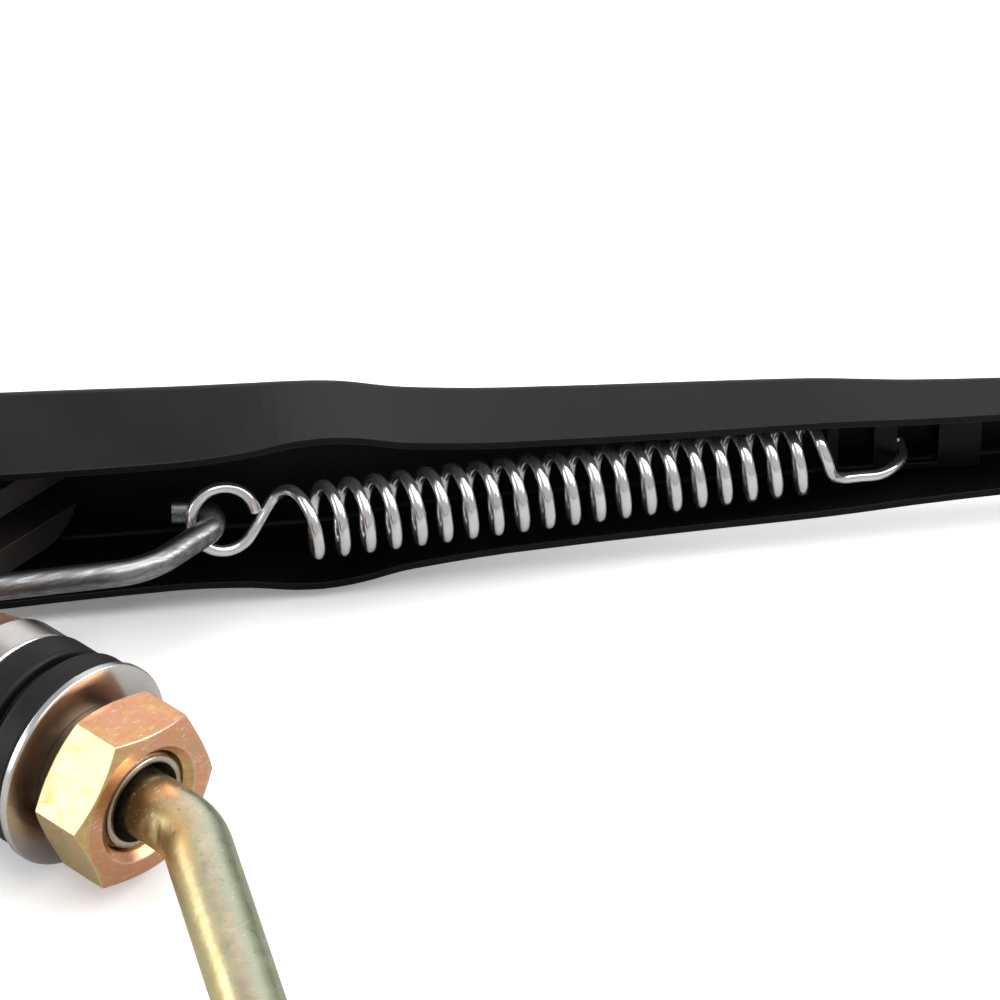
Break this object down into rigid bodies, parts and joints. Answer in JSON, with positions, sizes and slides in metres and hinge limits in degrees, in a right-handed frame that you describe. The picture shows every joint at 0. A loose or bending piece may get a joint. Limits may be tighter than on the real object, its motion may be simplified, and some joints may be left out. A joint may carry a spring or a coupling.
{
  "type": "manual windscreen wiper",
  "caption": "Hand-worked wiper: bent cranked handle, glass clamp with rubber washers, forked head, sprung black channel arm with hook link, flat strip and wiper blade.",
  "frame": {"origin": "on the spindle axis, in the plane of the inner rubber washer that lies against the glass", "axes": "+Y along the spindle, away from the cab; +X the way the head points; +Z across the arm, along the hinge pin, upward as the object lies in the picture"},
  "size_m": [0.4407, 0.3522, 0.0318],
  "materials": {
    "spindle_steel": "bright zinc plate, satin",
    "bush_bronze": "plain sintered bronze",
    "black_rubber": "matt moulded rubber",
    "bright_washer": "polished nickel plate",
    "yellow_zinc": "yellow passivated zinc plate, slightly iridescent",
    "black_plastic": "moulded, soft sheen",
    "head_paint": "black paint over a zinc casting",
    "arm_paint": "satin black stove enamel",
    "spring_steel": "bright drawn wire",
    "link_zinc": "dull, scuffed zinc plate",
    "plain_steel": "zinc plate",
    "grey_plastic": "plain nylon",
    "blade_steel": "stainless, brushed"
  },
  "bodies": {
    "clamp": {"pivot_tube": "spindle_steel", "inner_bush": "bush_bronze", "outer_bush": "bush_bronze", "inner_rubber_washer": "black_rubber", "outer_rubber_washer": "black_rubber", "inner_washer": "bright_washer", "lock_washer": "plain_steel", "outer_collar": "bright_washer", "inner_nut": "yellow_zinc", "outer_nut": "yellow_zinc"},
    "rotor": {"handle_rod": "yellow_zinc", "handle_grip": "black_plastic", "spacer_sleeve": "spindle_steel", "arm_head": "head_paint", "head_washer": "plain_steel", "head_nut": "plain_steel", "anchor_pin": "plain_steel"},
    "arm": {"arm_channel": "arm_paint", "hinge_rivets": "plain_steel", "hinge_spacers": "grey_plastic", "spring_anchor": "arm_paint", "arm_strip": "arm_paint", "strip_rivets": "plain_steel", "blade_clip": "arm_paint", "clip_rivet": "plain_steel", "blade_pin": "plain_steel"},
    "link": {"hook_link": "link_zinc"},
    "spring": {"tension_spring": "spring_steel"},
    "blade": {"blade_saddle": "blade_steel", "blade_holder": "blade_steel", "blade_rubber": "black_rubber", "blade_end_clips": "blade_steel"}
  },
  "joints": [
    {"name": "wipe", "type": "hinge", "parent": "clamp", "child": "rotor", "pos_m": [0, 0, 0], "axis": [0, 1, 0], "continuous": true},
    {"name": "arm_fold", "type": "hinge", "parent": "rotor", "child": "arm", "pos_m": [0.023, 0.0561, 0], "axis": [0, 0, 1], "range_deg": [0, 75], "stiffness_Nm_per_rad": 0.38, "springref_deg": -37.24},
    {"name": "link_swing", "type": "hinge", "parent": "rotor", "child": "link", "pos_m": [0.01646, 0.0406, 0], "axis": [0, 0, 1], "range_deg": [-1, 73]},
    {"name": "spring_stretch", "type": "slide", "parent": "link", "child": "spring", "axis": [0.8303, -0.5573, 0], "range_m": [-0.0005, 0.0195], "deforming": ["tension_spring"]},
    {"name": "blade_rock", "type": "hinge", "parent": "arm", "child": "blade", "pos_m": [0.26902, -0.1787, 0], "axis": [0, 0, 1], "range_deg": [-6, 6]}
  ],
  "couplings": [
    {"joint": "link_swing", "follows": "arm_fold", "ratio": 0.9579},
    {"joint": "spring_stretch", "follows": "arm_fold", "m_per_rad": 0.01419}
  ]
}
